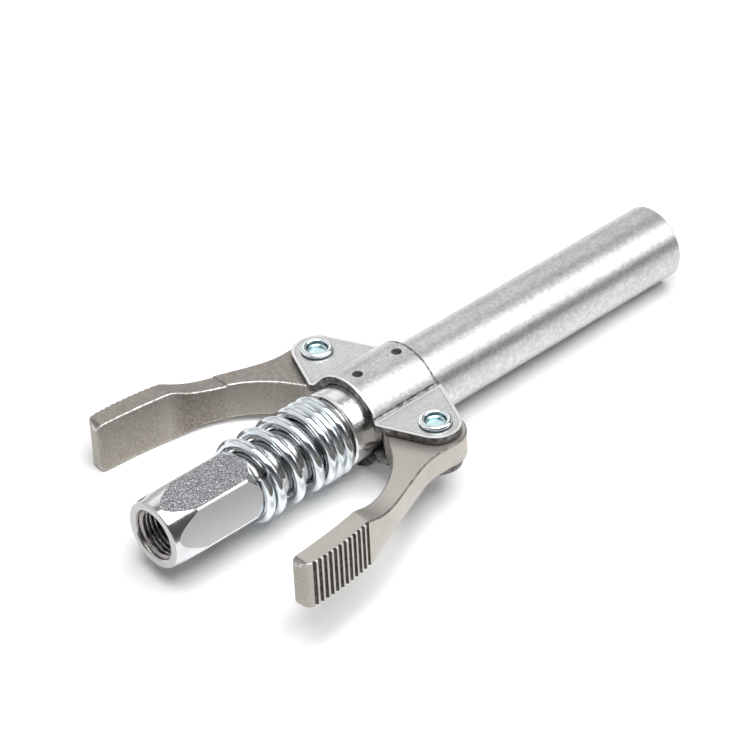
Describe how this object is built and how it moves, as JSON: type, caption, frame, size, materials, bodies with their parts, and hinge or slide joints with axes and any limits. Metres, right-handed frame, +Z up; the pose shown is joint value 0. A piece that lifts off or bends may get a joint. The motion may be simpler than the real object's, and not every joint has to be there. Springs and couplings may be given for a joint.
{
  "type": "grease coupler",
  "caption": "Locking grease coupler: squeeze levers draw a sleeve back along a hexagon-ended stem against a coil spring, which opens jaws that grip a grease fitting.",
  "frame": {"origin": "centre of the inlet's end face, on the coupler's axis", "axes": "+X along the axis from the threaded inlet to the nose, +Z up, +Y towards the left lever"},
  "size_m": [0.1359, 0.0642, 0.0194],
  "materials": {
    "bright_zinc": "bright zinc plate, grainy flats",
    "spring_zinc": "bright bluish zinc plate",
    "rivet_zinc": "bright bluish zinc plate",
    "sleeve_zinc": "satin zinc, drawn tube",
    "bracket_zinc": "satin zinc sheet",
    "pin_steel": "dark steel",
    "lever_metal": "matte cast metal with worn edges",
    "jaw_steel": "hardened steel",
    "brass": "turned brass",
    "black_rubber": "black rubber",
    "ball_steel": "polished steel",
    "small_spring_steel": "spring steel"
  },
  "bodies": {
    "core": {"stem_body": "bright_zinc", "check_seat": "brass", "check_spring": "small_spring_steel", "return_spring": "spring_zinc", "plunger_spring": "small_spring_steel"},
    "sleeve": {"barrel_sleeve": "sleeve_zinc", "upper_bracket": "bracket_zinc", "lower_bracket": "bracket_zinc", "bracket_pins": "pin_steel", "left_rivet": "rivet_zinc", "right_rivet": "rivet_zinc"},
    "left_lever": {"left_lever": "lever_metal"},
    "right_lever": {"right_lever": "lever_metal"},
    "jaw_top": {"jaw_top": "jaw_steel"},
    "jaw_left": {"jaw_left": "jaw_steel"},
    "jaw_bottom": {"jaw_bottom": "jaw_steel"},
    "jaw_right": {"jaw_right": "jaw_steel"},
    "plunger": {"seal_plunger": "brass", "plunger_ring": "black_rubber", "nozzle_seal": "black_rubber"},
    "ball": {"check_ball": "ball_steel"}
  },
  "joints": [
    {"name": "left_lever_squeeze", "type": "hinge", "parent": "sleeve", "child": "left_lever", "pos_m": [0.0568, 0.01695, 0], "axis": [0, 0, 1], "range_deg": [0, 22]},
    {"name": "right_lever_squeeze", "type": "hinge", "parent": "sleeve", "child": "right_lever", "pos_m": [0.0568, -0.01695, 0], "axis": [0, 0, -1], "range_deg": [0, 22]},
    {"name": "sleeve_slide", "type": "slide", "parent": "core", "child": "sleeve", "axis": [-1, 0, 0], "range_m": [0, 0.00455], "stiffness_N_per_m": 22000, "springref_m": -0.003, "deforming": ["return_spring"]},
    {"name": "jaw_top_tilt", "type": "hinge", "parent": "core", "child": "jaw_top", "pos_m": [0.114, 0, 0.005], "axis": [0, -1, 0], "range_deg": [0, 3]},
    {"name": "jaw_left_tilt", "type": "hinge", "parent": "core", "child": "jaw_left", "pos_m": [0.114, 0.005, 0], "axis": [0, 0, 1], "range_deg": [0, 3]},
    {"name": "jaw_bottom_tilt", "type": "hinge", "parent": "core", "child": "jaw_bottom", "pos_m": [0.114, 0, -0.005], "axis": [0, 1, 0], "range_deg": [0, 3]},
    {"name": "jaw_right_tilt", "type": "hinge", "parent": "core", "child": "jaw_right", "pos_m": [0.114, -0.005, 0], "axis": [0, 0, -1], "range_deg": [0, 3]},
    {"name": "seal_give", "type": "slide", "parent": "core", "child": "plunger", "axis": [-1, 0, 0], "range_m": [0, 0.0012], "stiffness_N_per_m": 1000, "springref_m": -0.003, "deforming": ["plunger_spring"]},
    {"name": "check_ball_lift", "type": "slide", "parent": "core", "child": "ball", "axis": [1, 0, 0], "range_m": [0, 0.0012], "stiffness_N_per_m": 200, "springref_m": -0.002, "deforming": ["check_spring"]}
  ],
  "couplings": [
    {"joint": "left_lever_squeeze", "follows": "sleeve_slide", "rad_per_m": 84.41},
    {"joint": "right_lever_squeeze", "follows": "sleeve_slide", "rad_per_m": 84.41},
    {"joint": "jaw_top_tilt", "follows": "sleeve_slide", "rad_per_m": 11.51},
    {"joint": "jaw_left_tilt", "follows": "sleeve_slide", "rad_per_m": 11.51},
    {"joint": "jaw_bottom_tilt", "follows": "sleeve_slide", "rad_per_m": 11.51},
    {"joint": "jaw_right_tilt", "follows": "sleeve_slide", "rad_per_m": 11.51}
  ]
}
